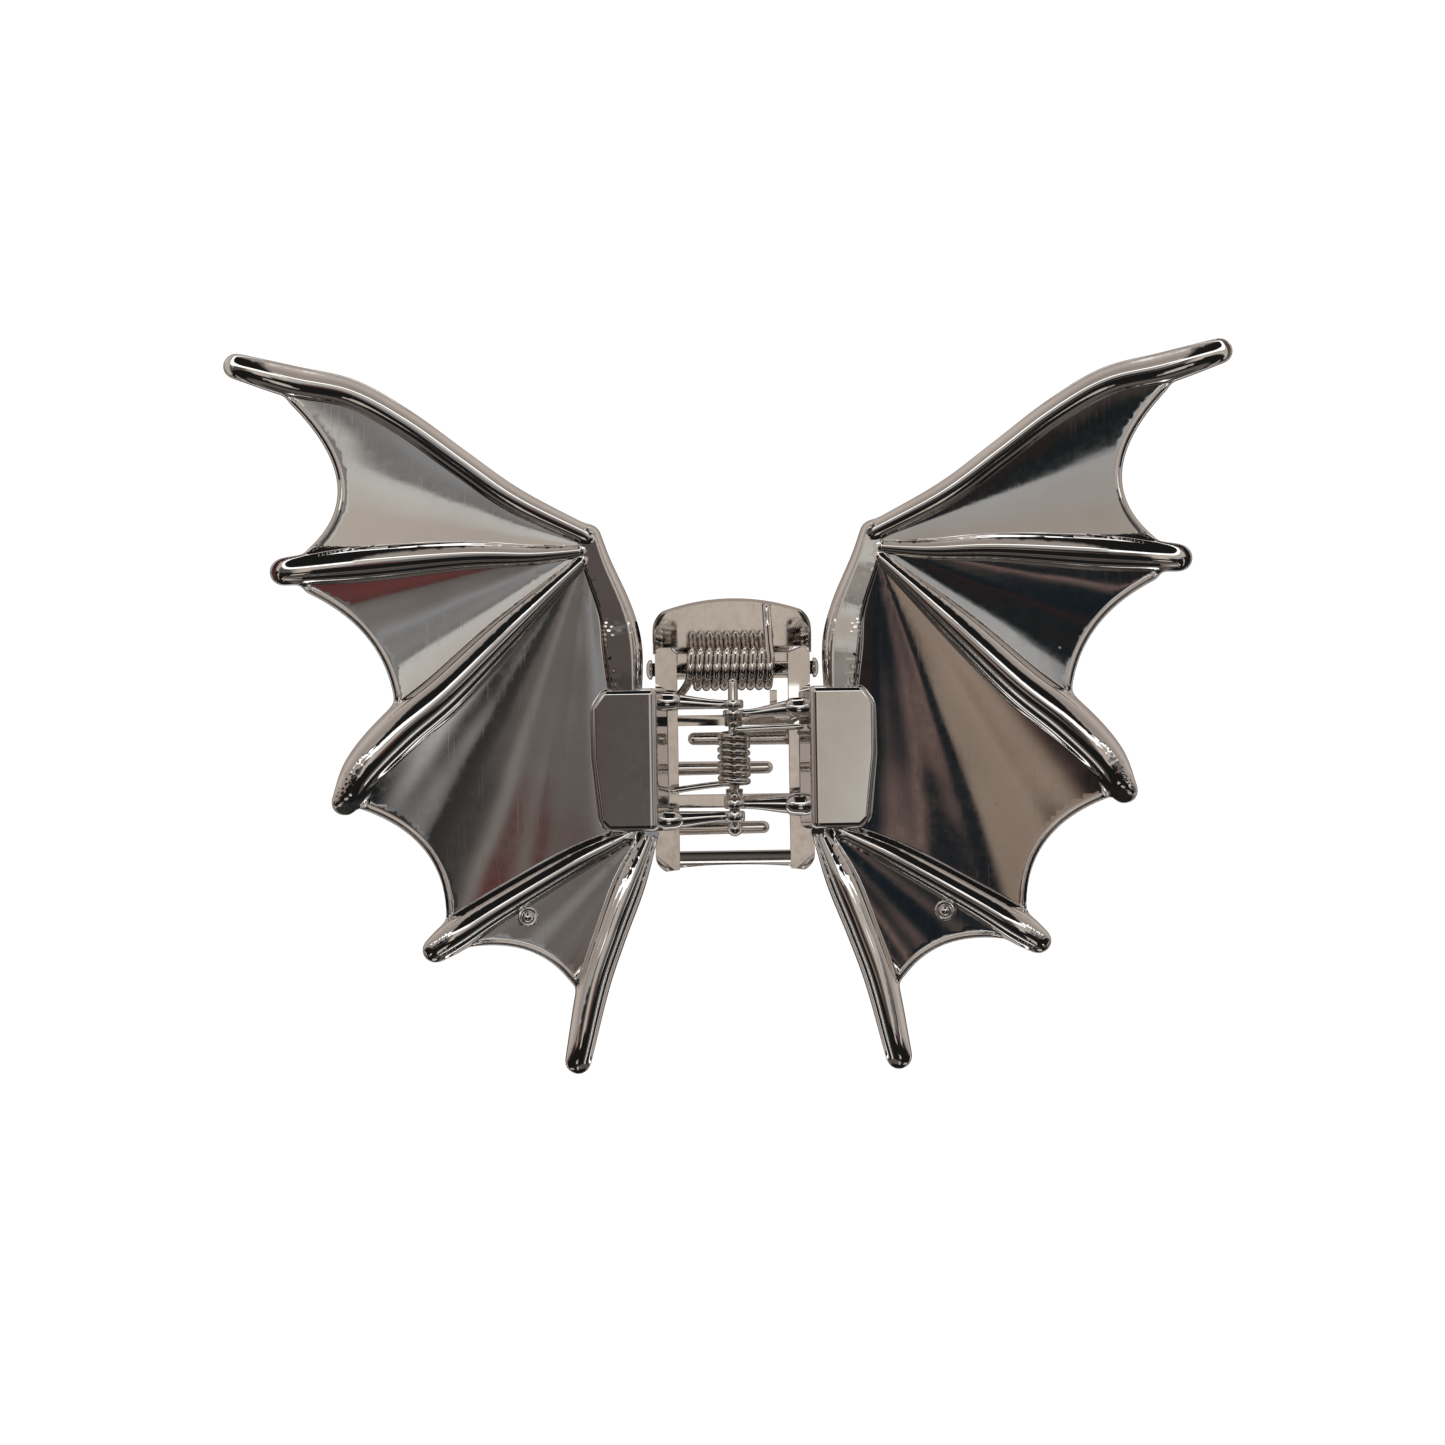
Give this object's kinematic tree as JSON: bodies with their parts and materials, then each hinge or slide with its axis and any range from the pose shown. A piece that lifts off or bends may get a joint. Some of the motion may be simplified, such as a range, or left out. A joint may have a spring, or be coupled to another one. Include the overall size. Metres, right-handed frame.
{
  "type": "alligator hair clip",
  "caption": "Chrome spring hair clip with bat-shaped wings: sprung gripping jaws on a cross pin, and ribbed wings that flap on a sprung centre pin.",
  "frame": {"origin": "under the middle of the clip, on the plane of the lower jaw's underside", "axes": "+X to the right wing, +Y towards the press plate and the wings' upper tips, +Z away from the hair"},
  "size_m": [0.1094, 0.0792, 0.0183],
  "materials": {
    "jaw_chrome": "polished plated stamping, warm grey",
    "pin_steel": "plated steel pin, slightly dull",
    "spring_wire": "drawn spring wire with fine lengthwise marks",
    "bracket_chrome": "polished plated casting",
    "wing_chrome": "mirror plated casting with fine handling marks"
  },
  "bodies": {
    "lower_jaw": {"lower_jaw": "jaw_chrome", "jaw_pin": "pin_steel", "jaw_spring": "spring_wire"},
    "upper_jaw": {"upper_jaw": "jaw_chrome", "wing_pin": "pin_steel", "wing_spring": "spring_wire"},
    "left_wing": {"left_wing": "wing_chrome", "left_bracket": "bracket_chrome", "left_stud": "bracket_chrome"},
    "right_wing": {"right_wing": "wing_chrome", "right_bracket": "bracket_chrome", "right_stud": "bracket_chrome"}
  },
  "joints": [
    {"name": "jaw_open", "type": "hinge", "parent": "lower_jaw", "child": "upper_jaw", "pos_m": [0, 0.0047, 0.0036], "axis": [-1, 0, 0], "range_deg": [0, 25], "stiffness_Nm_per_rad": 0.03, "springref_deg": -28.65, "deforming": ["jaw_spring"]},
    {"name": "left_wing_flap", "type": "hinge", "parent": "upper_jaw", "child": "left_wing", "pos_m": [0, 0, 0.007], "axis": [0, 1, 0], "range_deg": [0, 40], "stiffness_Nm_per_rad": 0.01, "springref_deg": -28.65, "deforming": ["wing_spring"]},
    {"name": "right_wing_flap", "type": "hinge", "parent": "upper_jaw", "child": "right_wing", "pos_m": [0, 0, 0.007], "axis": [0, -1, 0], "range_deg": [0, 40], "stiffness_Nm_per_rad": 0.01, "springref_deg": -28.65}
  ]
}
